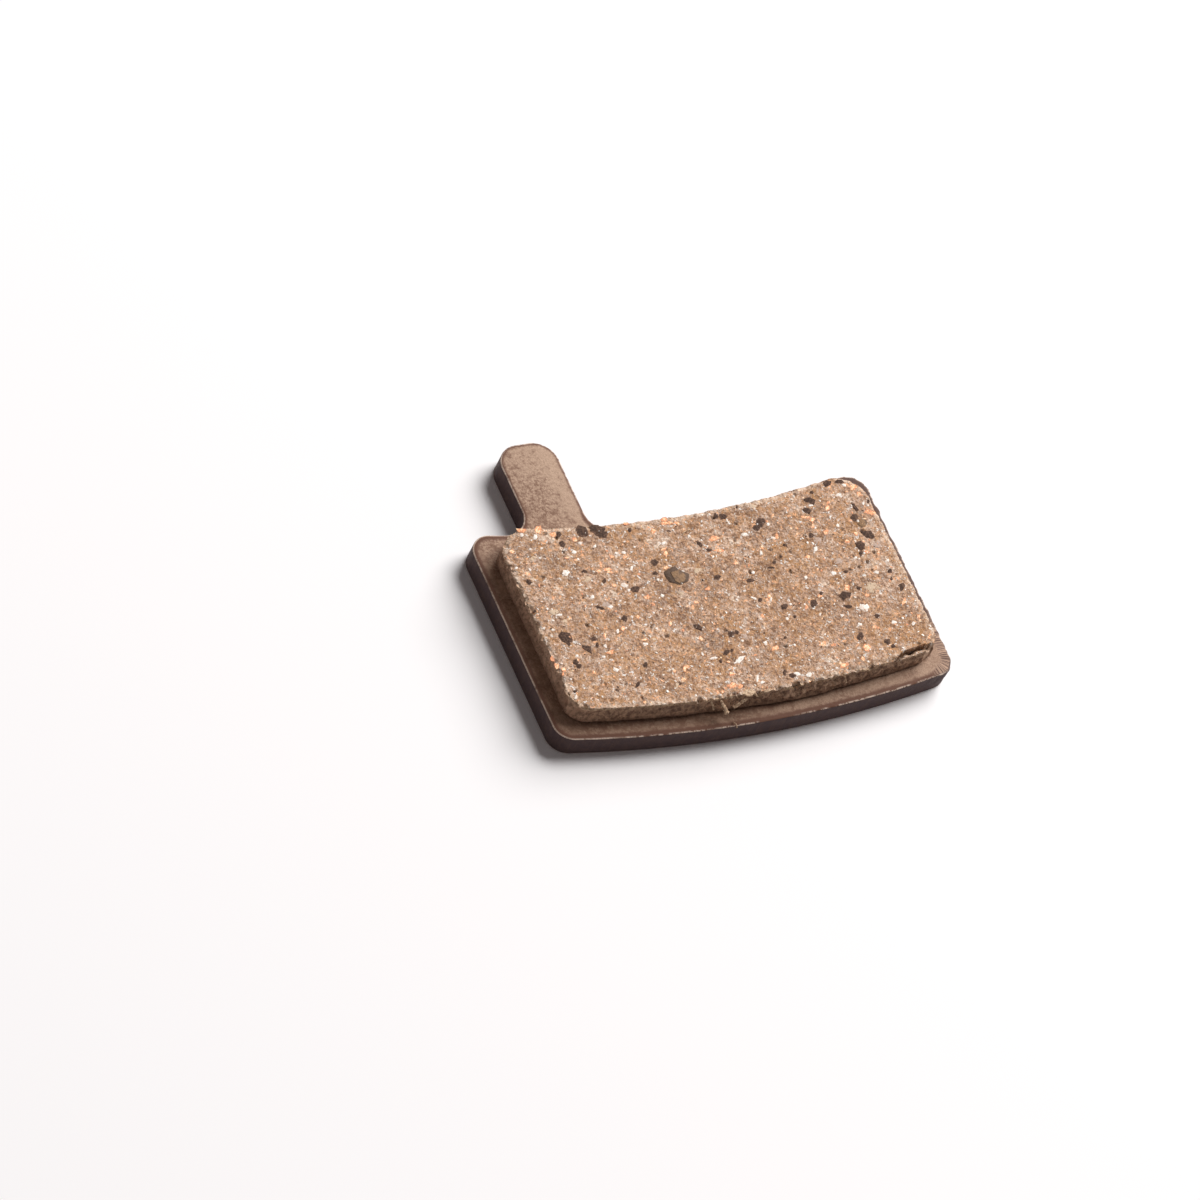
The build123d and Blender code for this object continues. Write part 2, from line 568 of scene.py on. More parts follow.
shaded_gap_depths = (0.3, 0.5)
left_wall_painted_light_end = (-block_half + 0.55, -block_half + 2.55)
bright_lip_start = (-block_half + 0.15, -block_half + 0.95)
compound_brown = (0.23, 0.122, 0.07, 1.0)
compound_umber = (0.41, 0.229, 0.134, 1.0)
compound_tan = (0.55, 0.325, 0.2, 1.0)
compound_pink = (0.7, 0.437, 0.3, 1.0)
compound_cream = (0.94, 0.75, 0.59, 1.0)
compound_ochre = (0.56, 0.295, 0.135, 1.0)
compound_mauve = (0.53, 0.39, 0.312, 1.0)
compound_pit_shade = (0.07, 0.04, 0.026, 1.0)
compound_wall = (0.53, 0.332, 0.218, 1.0)
compound_wall_dark_and_shade = (0.17, 0.097, 0.064, 1.0)
compound_lip = (0.7, 0.5, 0.31, 1.0)
compound_facet_painted_light = (0.6, 0.42, 0.3, 1.0)
fleck_white = (0.95, 0.91, 0.86, 1.0)
fleck_copper = (0.95, 0.5, 0.27, 1.0)
fibre_turns = [(0.6, (0.0, 0.0, 0.0)), (-0.9, (9.0, 4.0, 0.0)), (1.7, (3.0, 17.0, 0.0))]


def photo_spot(pixel_x, pixel_y, height):
    """Where a pixel of the photograph lies on the pad, at a height above the table, in mm."""
    across = (pixel_x / photo_side - 0.5) * camera_sensor
    up = (0.5 - pixel_y / photo_side) * camera_sensor
    ray = camera_turn @ Vector((across, up, -camera_lens))
    start = camera_place / MM
    spot = start + ray * ((height - start.z) / ray.z)
    return np.array((spot.x, spot.y))


def corner_turns(radius, full):
    """Angles from 0 to a full corner's, no further apart than the rows of the face are."""
    turns = [0.0]
    while turns[-1] < full:
        row_turn = face_row_step / (radius * math.sin(turns[-1]) + least_corner_reach)
        turns.append(turns[-1] + min(widest_corner_turn, row_turn))
    return np.array(turns) * full / turns[-1]


def block_side():
    """The block's right-hand edge from its outer end to its inner end: two corners and a straight side."""
    outer_corner = on_ring(block_half - block_outer_corner, block_outer_radius - block_outer_corner)
    inner_corner = on_ring(block_half - block_inner_corner, block_inner_radius + block_inner_corner)
    outer_angles = away(outer_corner) + corner_turns(block_outer_corner, -away(outer_corner))
    inner_full = away(inner_corner) + math.pi
    inner_angles = inner_full - corner_turns(block_inner_corner, inner_full)
    outer = outer_corner + block_outer_corner * np.column_stack((np.cos(outer_angles), np.sin(outer_angles)))
    inner = inner_corner + block_inner_corner * np.column_stack((np.cos(inner_angles), np.sin(inner_angles)))
    straight_rows = math.ceil((inner_corner[1] - outer_corner[1]) / face_row_step)
    heights = np.linspace(outer_corner[1], inner_corner[1], straight_rows + 1)[1:-1]
    straight = np.column_stack((np.full_like(heights, block_half), heights))
    return np.vstack((outer, straight, inner[::-1]))


def past_break(x, y):
    """How far past the line of the broken corner a point of the face lies, in mm; negative where it holds."""
    line_x, line_y = zip(*chip_line)
    jag = sum(size * noise.noise(Vector((x * per_mm, row, 0.0))) for size, per_mm, row in chip_jags)
    jag *= min(1.0, max(0.0, (chip_lip_end - x) / chip_jag_fade))
    return np.interp(x, line_x, line_y) + jag - y if x > line_x[0] else -1.0


def face_drop(x, y):
    """How far below the face a point of the block's edge lies, in mm: in the broken corner or in a bite."""
    beyond = past_break(x, y)
    drop = 0.0
    if beyond > 0.0:
        open_crack = chip_crack_depth + chip_crack_swing * noise.noise(Vector((x * 1.7, 5.0, 4.0)))
        lip = chip_lip_drop + chip_lip_swing * noise.noise(Vector((x * 2.5, y * 2.5, 4.0)))
        drop = lip + max(0.0, open_crack - lip) * max(0.0, 1.0 - beyond / chip_crack_width)
        off_lip = max(0.0, x - chip_lip_end)
        end_drop = chip_end_drop + chip_end_fall * off_lip
        drop += min(1.0, off_lip / chip_lip_fade) * (end_drop - drop)
    for (bite_x, bite_y), radius, depth in edge_bites:
        share = 1.0 - math.hypot(x - bite_x, y - bite_y) / radius
        drop = max(drop, depth * min(1.0, 2.0 * share))
    return drop


def block_points():
    """The face's points row by row, then the walls' level by level, and how far each is from the edge."""
    rows = []
    for x, y in block_side():
        radius = math.hypot(x - rotor_axis[0], y - rotor_axis[1])
        across = np.linspace(-x, x, face_columns)
        rows.append(np.column_stack((across, rotor_axis[1] - np.sqrt(radius**2 - across**2))))
    flat = np.vstack(rows)
    drops = [face_drop(x, y) for x, y in flat]
    face = np.column_stack((flat, block_face - np.array(drops)))
    ids = np.arange(len(face)).reshape(len(rows), face_columns)
    rim = np.concatenate((ids[0, :-1], ids[:-1, -1], ids[-1, :0:-1], ids[:0:-1, 0]))
    nearest = []
    for start in range(0, len(face), edge_batch):
        apart = flat[start:start + edge_batch, None] - flat[rim][None, ::edge_stride]
        nearest.append(np.sqrt((apart**2).sum(2)).min(1))
    face_edges = np.concatenate(nearest)
    face_edges[rim] = 0.0
    levels = [face]
    edges = [face_edges]
    for level in range(1, wall_levels + 1):
        share = level / wall_levels
        ring = face[rim].copy()
        ring[:, 2] += (block_foot - ring[:, 2]) * share
        levels.append(ring)
        edges.append(np.full(len(rim), (block_face - block_foot) * share))
    return np.vstack(levels), np.concatenate(edges), ids, rim


def block_faces(ids, rim):
    """The face's squares, the walls' squares and the one face that lies on the plate."""
    squares = np.stack((ids[:-1, :-1], ids[:-1, 1:], ids[1:, 1:], ids[1:, :-1]), axis=-1).reshape(-1, 4)
    faces = squares.tolist()
    upper = rim
    for level in range(wall_levels):
        lower = ids.size + level * len(rim) + np.arange(len(rim))
        walls = np.column_stack((upper, lower, np.roll(lower, -1), np.roll(upper, -1)))
        faces += walls.tolist()
        upper = lower
    return faces + [upper[::-1].tolist()]


def ramped(values, start, end):
    """0 up to a start and 1 from an end on, with a straight ramp between them."""
    return np.clip((values - start) / (end - start), 0.0, 1.0)


def new_tree(name, sockets):
    """Empty Geometry Nodes with these inputs between a geometry and a finish, and the tone of their start."""
    tree = bpy.data.node_groups.new(name, "GeometryNodeTree")
    tree.interface.new_socket("Geometry", in_out="OUTPUT", socket_type="NodeSocketGeometry")
    for label, kind in (("Geometry", "Geometry"), *sockets, ("Finish", "Material")):
        tree.interface.new_socket(label, in_out="INPUT", socket_type="NodeSocket" + kind)
    return tree, Tone(tree).node("NodeGroupInput", {}, {})


def end_tree(start, shape):
    """The end of Geometry Nodes: a shape with its instances made real, in the finish given to the tree."""
    realized = shape.node("GeometryNodeRealizeInstances", {}, {"Geometry": shape})
    sockets = {"Geometry": realized, "Material": start.other("Finish")}
    painted = realized.node("GeometryNodeSetMaterial", {}, sockets)
    painted.node("NodeGroupOutput", {}, {"Geometry": painted})


def open_pits(place):
    """1 where the compound lies open in a pit between its grains, with an uneven outline."""
    warped = place.shift(place.noise(4.0, 2.0).other("Color"), 0.3)
    holes = warped.cells(1.15)
    return holes.fall(0.12, 0.26) * holes.chance("X").step(0.72, 0.77)


def wear_tree():
    """Geometry Nodes that roughen the compound: grains, crumbs, open pits, rough walls, crumbled edges."""
    labels = ("Grain Relief", "Crumb Relief", "Pit Depth", "Wall Relief", "Lip Relief", "Hollow Depth",
              "Foot Flare", "Foot Gap", "Edge Crumble", "Edge Width")
    tree, start = new_tree("worn_compound", [(label, "Float") for label in labels])
    place = start.node("GeometryNodeInputPosition", {}, {}).scaled(1.0 / MM)
    edge = start.stored("edge")
    side = start.stored("side")
    ragged = start.stored("ragged")
    grains = 0.5 - place.cells(4.2)
    crumbs = place.noise(4.6, 3.0, 0.7) - 0.5
    walls = place.noise(1.6, 4.0, 0.65) - 0.5
    near = (1.0 - edge / start.other("Edge Width")).most(0.0)
    broken = near * ragged * place.noise(1.25, 4.0, 0.7).step(0.4, 0.64)
    face_height = grains * start.other("Grain Relief") + crumbs * start.other("Crumb Relief")
    face_height = face_height - open_pits(place) * start.other("Pit Depth")
    lip = edge.fall(0.1, 0.5) * place.moved(4.0, 1.0, 0.0).noise(1.1, 3.0, 0.6).step(0.42, 0.6)
    hollow = edge.step(0.25, 0.65) * edge.fall(1.1, 1.6) * place.noise(0.9, 3.0, 0.6).step(0.4, 0.6)
    flare = edge.step(0.2, 1.0) * start.other("Foot Flare") - edge.step(1.6, 1.78) * start.other("Foot Gap")
    torn = lip * start.other("Lip Relief") - hollow * start.other("Hollow Depth")
    wall_height = walls * start.other("Wall Relief") + start.stored("outer") * flare + ragged * torn
    height = face_height * (1.0 - side) + wall_height * side
    height = (1.0 - start.stored("facet")) * (height - broken * start.other("Edge Crumble"))
    move = start.node("GeometryNodeInputNormal", {}, {}).scaled(height * MM)
    end_tree(start, start.node("GeometryNodeSetPosition", {}, {"Geometry": start, "Offset": move}))
    return tree


def grown(obj, tree, **settings):
    """Runs Geometry Nodes on an object with these inputs and keeps the result as its plain mesh."""
    modifier = obj.modifiers.new(tree.name, "NODES")
    modifier.node_group = tree
    for item in tree.interface.items_tree:
        label = item.name.replace(" ", "_").lower()
        if item.in_out == "INPUT" and label in settings:
            modifier[item.identifier] = settings[label]
    depsgraph = bpy.context.evaluated_depsgraph_get()
    mesh = bpy.data.meshes.new_from_object(obj.evaluated_get(depsgraph))
    obj.modifiers.remove(modifier)
    obj.data = mesh


def compound_grains(place, torn, sand, fine, fibres):
    """The ground face's colour: tan, pink and cream grains in brown resin, some of them ochre or mauve."""
    clumps = torn.cells(1.2)
    drift = place.noise(0.8, 3.0) + place.moved(7.0, 1.0, 2.0).noise(2.1, 3.0, 0.6)
    broad = place.moved(2.0, 5.0, 3.0).noise(0.2, 2.0)
    tone = 0.4 * sand.chance("X") + 0.3 * fine.chance("X") + 0.3 * clumps.chance("X")
    tone = tone + 1.15 * drift + 1.2 * broad + 1.6 * fibres - 2.58
    colour = tone.ramp([
        (0.12, compound_brown), (0.32, compound_umber), (0.5, compound_tan), (0.7, compound_pink),
        (0.95, compound_cream),
    ])
    colour = (0.6 * sand.chance("Y").step(0.74, 0.78)).blend(colour, compound_ochre)
    warmth = place.moved(6.0, 3.0, 1.0).noise(0.35, 3.0, 0.6)
    ochre = 0.35 * warmth.step(0.48, 0.62) + 0.55 * fine.chance("Z").step(0.72, 0.76)
    colour = ochre.blend(colour, compound_ochre)
    greyed = place.moved(4.0, 9.0, 5.0).noise(1.5, 5.0, 0.75).step(0.5, 0.64)
    mauve = 0.42 * greyed + 0.5 * fine.chance("Y").step(0.75, 0.79) + 0.15 * warmth.fall(0.38, 0.52)
    return mauve.blend(colour, compound_mauve)


def compound_flecks(place, colour, depth, fibres):
    """A colour of the face with its seams, painted shade in its pits, hairs, worn edge and flecks laid over
    it.
    """
    seams = place.moved(3.0, 8.0, 1.0).noise(3.6, 4.0, 0.75).step(0.515, 0.6)
    colour = (0.85 * seams).blend(colour, compound_brown)
    # Painted shade: the open pits are darkened.
    colour = (0.8 * open_pits(place)).blend(colour, compound_pit_shade)
    whites = place.moved(11.0, 4.0, 6.0).noise(2.3, 4.0, 0.8).step(0.605, 0.64)
    colour = whites.blend(colour, fleck_white)
    for turn, shift in fibre_turns:
        sockets = {"Vector": place, "Rotation": (0.0, 0.0, turn), "Location": shift}
        laid = place.node("ShaderNodeMapping", {}, sockets)
        hairs = laid.stretch(1.3, 8.5, 4.0).noise(1.0, 2.0, 0.6)
        colour = (0.6 * hairs.step(0.64, 0.7)).blend(colour, compound_cream)
        colour = (0.7 * hairs.fall(0.31, 0.36)).blend(colour, compound_brown)
    worn_edge = depth.fall(0.05, 0.6) * fibres.step(0.4, 0.6)
    colour = (0.65 * worn_edge).blend(colour, compound_cream)
    coppers = place.moved(2.0, 15.0, 9.0).noise(2.3, 4.0, 0.8).step(0.595, 0.64)
    return coppers.blend(colour, fleck_copper)


def compound_walls(place, depth, fibres):
    """The walls' colour: lumpy brown, with painted shade at the foot and painted light on the left, frayed
    and bright at the face.
    """
    lumps = place.noise(2.6, 4.0, 0.75).step(0.36, 0.64)
    colour = lumps.blend(compound_wall_dark_and_shade, compound_wall)
    # Painted shade: the wall darkens towards its foot.
    colour = (0.8 * depth.step(1.1, 1.75)).blend(colour, compound_wall_dark_and_shade)
    across = place.axis("X")
    # Painted light: the left end of the walls is lightened towards pink.
    left_wall_painted_light = across.fall(*left_wall_painted_light_end) * (0.4 + 0.6 * lumps)
    colour = (0.65 * left_wall_painted_light).blend(colour, compound_pink)
    frayed = depth.fall(0.1, 0.4) * fibres.step(0.4, 0.6) * (0.5 + 0.5 * across.step(*bright_lip_start))
    return frayed.blend(colour, compound_lip)


def compound_finish():
    """The brake compound: its ground face, its rough walls, painted shade in its open gaps, and the break at
    the chip with painted light on its facet.
    """
    material, shader, place = finish_start("brake_compound")
    depth = place.known("edge")
    torn = place.shift(place.noise(7.0, 3.0, 0.65).other("Color"), 0.26)
    sand = torn.cells(2.4)
    fine = torn.cells(6.6)
    fibres = place.noise(3.9, 4.0, 0.75)
    colour = compound_flecks(place, compound_grains(place, torn, sand, fine, fibres), depth, fibres)
    colour = (0.95 * place.known("side")).blend(colour, compound_walls(place, depth, fibres))
    # Painted shade: where the face is sunk deep, in the broken corner and the bites, it is darkened.
    painted_gap_shade = place.known("sunk") * place.noise(1.7, 3.0, 0.6).step(0.36, 0.56)
    colour = (0.9 * painted_gap_shade).blend(colour, compound_pit_shade)
    # Painted light: the facet of the broken corner is given a light tan, as if lit.
    colour = place.known("facet").blend(colour, compound_facet_painted_light)
    relief = 0.35 * sand + 0.3 * fine + 0.8 * fibres
    feed(shader, Base_Color=colour, Roughness=0.85, Specular_IOR_Level=0.15, Normal=bumped(relief, 0.08))
    return material


edge_bites = [(photo_spot(x, y, block_face), radius, depth) for x, y, radius, depth in edge_bites_seen]
points, edges, ids, rim = block_points()
along = points[:, 0]
sides = np.zeros(len(points))
sides[ids.size:] = 1.0
from_axis = np.hypot(along, points[:, 1] - rotor_axis[1])
outer = (from_axis > block_outer_radius - outer_band) * 1.0
torn = outer * ramped(along, *torn_start) * ramped(along, *torn_end)
foot_bulge = foot_bulge_share * np.exp(-(((along - foot_bulge_middle) / foot_bulge_width) ** 2))
facet_start = chip_lip_end + chip_lip_fade / 2
block_facts = {
    "edge": edges,
    "side": sides,
    "ragged": 0.35 + 0.65 * torn + 0.7 * ramped(along, *frayed_start),
    "outer": outer * (1.0 + foot_bulge),
    "facet": [float(past_break(x, y) > chip_facet_inset and x > facet_start) for x, y in points[:, :2]],
    "sunk": ramped(block_face - points[:, 2], *shaded_gap_depths) * (1.0 - sides),
}
faces = block_faces(ids, rim)
block = solid("friction_block_worn", points, faces, sharp_degrees=180.0, attributes=block_facts)
grown(block, wear_tree(), grain_relief=0.04, crumb_relief=0.11, pit_depth=0.12, wall_relief=0.3,
      lip_relief=0.16, hollow_depth=0.3, foot_flare=0.2, foot_gap=0.34, edge_crumble=0.42, edge_width=0.36,
      finish=compound_finish())
block.data.set_sharp_from_angle(angle=math.radians(70.0))
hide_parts("friction_pad")
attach(block, "root")

# The dark grains: hard mineral and graphite grains, 0.1 to 1.2 mm across, moulded into the compound and
# ground flush. The larger ones lie where the photograph shows them, each a row of a middle, a length, a width
# and at times a turn. The largest are given by their corners, and the small ones are strewn.
dice = np.random.default_rng(11)
grain_rise = 0.03
grain_sink = 0.2
grain_sides = 6
grain_sharp = 25.0
grain_tilt = 0.05
grain_foot = 0.9
grain_crown = 0.6
large_crown = 0.8
grain_rim_rises = (-0.25, 0.4)
corner_swing = 0.3
grain_reaches = (1.0, 1.3)
dark_reaches = (0.85, 1.45)
strewn_reaches = (0.7, 1.1)
grain_black = (0.066, 0.037, 0.026, 1.0)
grain_grey = (0.19, 0.107, 0.072, 1.0)
dark_grains_seen = [
    (583, 532, 13, 12), (594, 528.5, 11, 7), (601, 531.5, 14, 13), (559, 534.5, 7, 5), (562, 543.5, 6, 7),
    (529, 582, 6, 6), (535, 611, 3, 3), (584, 571.5, 6, 4), (604.5, 581, 4, 5), (600, 608, 10, 3, -15),
    (630, 530, 4, 5), (635.5, 589, 8, 7), (625, 618.5, 6, 6), (654, 563, 7, 7), (655, 573, 6, 4),
    (668.5, 531, 5, 2), (716, 516, 5, 6), (722, 516, 8, 7), (737, 507, 3, 4), (760.5, 523, 10, 9),
    (756, 528, 7, 5), (699.5, 544, 8, 4, -45), (709, 550, 6, 3, -15), (717.5, 577, 8, 6),
    (750, 580, 8, 4), (774, 562.5, 4, 3), (771, 567.5, 7, 2), (785, 545, 6, 3, -35), (781, 556.5, 3, 4),
    (760, 600, 5, 4), (785, 606.5, 8, 6), (827.5, 483.5, 8, 6), (839, 482, 9, 4), (811.5, 492, 4, 3),
    (807.5, 510.5, 10, 7), (854, 518, 7, 7), (861, 553, 4, 6), (868, 501.5, 3, 4),
    (811.5, 535.5, 5, 6, 45), (890, 571, 5, 5), (891.5, 578.5, 3, 4), (846, 571.5, 5, 3),
    (594, 639, 7, 5), (597, 645, 3, 5), (576, 662, 6, 5), (579, 666.5, 5, 5), (645.5, 664.5, 5, 5),
    (638, 684, 4, 6, -30), (575.5, 691.5, 4, 3), (731, 634, 7, 6), (736.5, 632.5, 5, 4),
    (726, 652.5, 7, 6, 30), (732, 650.5, 3, 4), (721, 661, 4, 4), (795, 617, 3, 4), (814, 604, 7, 8),
    (784.5, 672.5, 4, 5), (792.5, 676, 7, 5, -20), (821, 593.5, 4, 5), (848, 606.5, 9, 4, -15),
    (858.5, 588, 5, 4), (877, 616, 5, 4), (860.5, 636.5, 7, 7), (887.5, 642, 8, 6), (893, 646, 5, 4),
    (902, 586.5, 7, 8), (785, 637.5, 3, 3),
]
large_grains_seen = [
    [(561, 641), (565, 643), (569, 647), (573, 640), (570, 633), (561, 631), (558, 636)],
    [(582, 648), (588, 652), (592, 654), (591, 646), (582, 645)],
    [(854, 509), (857, 512), (859, 510), (854, 503), (851, 503)],
    [(863, 535), (867, 538), (873, 539), (875, 537), (871, 530.5), (861, 531)],
    [(695, 628), (699, 630), (702, 631), (702, 627), (698, 624), (693, 624.5)],
    [(805, 502.5), (810, 503), (814, 505), (815.5, 500), (810, 497), (802.5, 498.5)],
    [(861, 551), (865, 549), (865, 544), (861, 540.5), (855, 542.5), (856, 547)],
    [(838.5, 595.5), (841, 598.5), (843.5, 601.5), (846.5, 598), (850, 597.5), (851.5, 592.5), (842.5, 591)],
]


def seen_corners(pixels):
    """Corners on the block's face, given as pixels of the photograph."""
    return np.array([photo_spot(x, y, block_face) for x, y in pixels])


def uneven_ring(reaches):
    """Corners about the origin, anticlockwise, turned and drawn in or out at random, about 1 across."""
    turns = np.arange(grain_sides) + dice.uniform(-corner_swing, corner_swing, grain_sides)
    angles = turns * 2.0 * math.pi / grain_sides
    return 0.5 * dice.uniform(*reaches, grain_sides) * np.array((np.cos(angles), np.sin(angles)))


def grain_outline(pixel_x, pixel_y, length, width, turn=0.0, reaches=grain_reaches):
    """An uneven outline on the face, from a middle, a length and a width in pixels and a turn in degrees."""
    ring_x, ring_y = uneven_ring(reaches)
    along = length * ring_x
    up = width * ring_y
    cosine, sine = math.cos(math.radians(turn)), math.sin(math.radians(turn))
    return seen_corners(zip(pixel_x + along * cosine - up * sine, pixel_y - along * sine - up * cosine))


def grain_solid(outline, rise, sink, crown_share=grain_crown):
    """One grain: a crown over an outline and a foot in the compound. Its points, its faces and its rim."""
    middle = outline.mean(0)
    count = len(outline)
    foot = middle + grain_foot * (outline - middle)
    crown = middle + crown_share * (outline - middle)
    tilt = dice.uniform(-grain_tilt, grain_tilt, 2)
    rings = (
        np.column_stack((foot, np.full(count, block_face - sink))),
        np.column_stack((outline, block_face + rise * dice.uniform(*grain_rim_rises, count))),
        np.column_stack((crown, block_face + rise + (crown - middle) @ tilt)),
    )
    return np.vstack(rings), ring_faces(len(rings), count), np.repeat((1.0, 1.0, 0.0), count)


def grains_at(rows, rise, sink, crown_share=grain_crown, **shape):
    """Grains at the places that rows of grains seen give."""
    return [grain_solid(grain_outline(*row, **shape), rise, sink, crown_share) for row in rows]


def grains_joined(name, grains, finish):
    """One object of many grains."""
    points = []
    faces = []
    rims = []
    for grain_points, grain_faces, grain_rims in grains:
        start = len(rims)
        points.append(grain_points)
        faces += [tuple(start + i for i in face) for face in grain_faces]
        rims += list(grain_rims)
    made = solid(name, np.vstack(points), faces, grain_sharp, {"rim": rims})
    made.data.materials.append(finish)
    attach(made, "root")


def dark_grain_finish():
    """Black mineral, dull, with a grey bloom where it is ground."""
    material, shader, place = finish_start("dark_mineral")
    bloom = place.noise(5.0, 4.0, 0.75) + 0.08 * place.known("rim")
    colour = bloom.step(0.45, 0.68).blend(grain_black, grain_grey)
    feed(shader, Base_Color=colour, Roughness=0.7, Specular_IOR_Level=0.1, Normal=bumped(bloom, 0.06))
    return material


def strewing_tree():
    """Geometry Nodes that strew one flake over the ground face, turned, tilted and sized at random."""
    numbers = ("Per Square Metre", "Smallest", "Largest", "Slimmest", "Tilt", "Edge Margin")
    sockets = (("Flake", "Object"), *((label, "Float") for label in numbers), ("Seed", "Int"))
    tree, start = new_tree("strewn_flakes", sockets)
    seed = start.other("Seed")

    def drawn(low, high, draw):
        """A random number per flake, from one of the seed's independent draws."""
        sockets = {2: low, 3: high, "Seed": seed + draw}
        return start.node("FunctionNodeRandomValue", {"data_type": "FLOAT"}, sockets, 1)

    edge = start.stored("edge")
    inside = (1.0 - start.stored("side")) * edge.math("GREATER_THAN", edge, start.other("Edge Margin"))
    spread = start.node("GeometryNodeDistributePointsOnFaces", {}, {
        "Mesh": start, "Selection": inside, "Density": start.other("Per Square Metre"), "Seed": seed,
    })
    lean = start.node("FunctionNodeRandomValue", {"data_type": "FLOAT_VECTOR"}, {
        0: (-1, -1, -1), 1: (1, 1, 1), "Seed": seed,
    })
    tilt = start.other("Tilt")
    widest = start.node("ShaderNodeCombineXYZ", {}, {"X": tilt, "Y": tilt, "Z": math.pi})
    lean = lean.node("FunctionNodeEulerToRotation", {}, {"Euler": lean.vector("MULTIPLY", {1: widest})})
    turn = start.node("FunctionNodeRotateRotation", {"rotation_space": "LOCAL"}, {
        "Rotation": spread.other("Rotation"), "Rotate By": lean,
    })
    length = drawn(start.other("Smallest"), start.other("Largest"), 1)
    width = length * drawn(start.other("Slimmest"), 1.0, 2)
    size = start.node("ShaderNodeCombineXYZ", {}, {"X": length, "Y": width, "Z": 1.0})
    flake = start.node("GeometryNodeObjectInfo", {}, {"Object": start.other("Flake")}, "Geometry")
    end_tree(start, start.node("GeometryNodeInstanceOnPoints", {}, {
        "Points": spread, "Instance": flake, "Rotation": turn, "Scale": size,
    }))
    return tree


def strew(name, finish, rise, sink, **settings):
    """Strews small flakes of one finish over the block's face, as an object of its own."""
    points, faces, rims = grain_solid(uneven_ring(strewn_reaches).T, rise, sink)
    flake = solid(name + "_one", points - np.array((0.0, 0.0, block_face)), faces, grain_sharp, {"rim": rims})
    made = bpy.data.objects.new(name, block.data.copy())
    scene.collection.objects.link(made)
    grown(made, strewn_flakes, flake=flake, finish=finish, **settings)
    bpy.data.objects.remove(flake)
    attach(made, "root")


dark_finish = dark_grain_finish()
dark_grains = grains_at(dark_grains_seen, grain_rise, grain_sink, reaches=dark_reaches)
for pixels in large_grains_seen:
    dark_grains.append(grain_solid(seen_corners(pixels), grain_rise, grain_sink, large_crown))
grains_joined("dark_grains", dark_grains, dark_finish)
strewn_flakes = strewing_tree()
strew("dark_grains_small", dark_finish, grain_rise, grain_sink, per_square_metre=1.3e5, smallest=0.1,
      largest=0.24, slimmest=0.4, tilt=0.1, edge_margin=0.3, seed=5)

# The copper flakes: slivers of copper and brass that carry heat out of the face, rolled thin in the mixing
# and cut through by the grinding, so that they lie bright and flush.
flake_rise = 0.02
flake_sink = 0.1
flake_reaches = (0.7, 1.55)
copper_highlight = (1.0, 0.8, 0.53, 1.0)
copper_bright = (0.93, 0.4, 0.155, 1.0)
copper_red = (0.8, 0.31, 0.17, 1.0)
copper_dull = (0.42, 0.22, 0.13, 1.0)
copper_flakes_seen = [
    (522, 531, 12, 5), (538, 530, 9, 7), (552.5, 534.5, 6, 5), (546, 541.5, 3, 3),
    (575.5, 540, 7, 4, -30), (512, 551.5, 4, 4), (567, 557.5, 5, 3), (576, 560, 5, 2), (601, 564.5, 3, 6),
    (599, 571, 5, 4), (606.5, 569.5, 8, 4), (610, 572, 6, 3), (611.5, 556.5, 5, 4), (625, 557, 5, 3, 20),
    (613.5, 585, 5, 4), (527.5, 574, 5, 3), (553, 598, 3, 3), (626, 524, 6, 3), (653, 531, 5, 7),
    (647.5, 597, 7, 5), (653, 604, 4, 3), (638, 617, 4, 4), (623, 628, 4, 6), (664, 519.5, 8, 4),
    (667, 523, 13, 4), (676.5, 523, 8, 3, -20), (664, 549, 6, 4), (665.5, 554, 4, 6),
    (715, 538.5, 15, 5, 15), (720, 550.5, 10, 4), (666, 567.5, 5, 4), (736, 563, 4, 5),
    (707.5, 588.5, 6, 4), (696.5, 602.5, 5, 4), (693, 607.5, 3, 5), (769, 596, 4, 5), (777, 536.5, 3, 6),
    (773, 516, 3, 4), (762, 547, 3, 4), (859, 494, 7, 5), (852.5, 487.5, 7, 5), (869.5, 512, 9, 6),
    (828.5, 508, 6, 5), (828, 502.5, 4, 4), (813, 519.5, 6, 5), (805, 517, 9, 3), (813, 526.5, 4, 4),
    (826, 532, 5, 4), (856, 533.5, 4, 4), (866.5, 552, 5, 3), (878.5, 553, 3, 4), (808, 557, 5, 4),
    (847, 541.5, 4, 4), (611.5, 652, 8, 5), (605, 636, 4, 5), (670, 624, 4, 5), (594, 672.5, 4, 3),
    (578, 660, 3, 3), (564, 669, 5, 4), (563, 674, 3, 4), (552, 659, 6, 4, -50), (557, 666, 7, 4, -50),
    (684.5, 668, 3, 8), (687, 666.5, 5, 4), (674.5, 671, 4, 4), (683.5, 680, 6, 4), (645, 640, 6, 3),
    (701, 638.5, 5, 4), (762.5, 615.5, 4, 4), (806.5, 607, 3, 5), (776, 647.5, 7, 5, 35),
    (823, 643, 11, 5, 20), (732.5, 686.5, 9, 6), (740, 686, 6, 4), (732.5, 674, 6, 4),
    (722.5, 691.5, 3, 4), (846.5, 587, 5, 6), (820, 596, 4, 3), (867, 595, 6, 3), (903.5, 602, 4, 7, -20),
    (918.5, 616.5, 4, 4), (874, 627, 5, 4), (834, 645, 5, 3), (867, 647.5, 6, 7), (863.5, 659, 4, 5),
    (844.5, 665, 9, 5, 35),
]


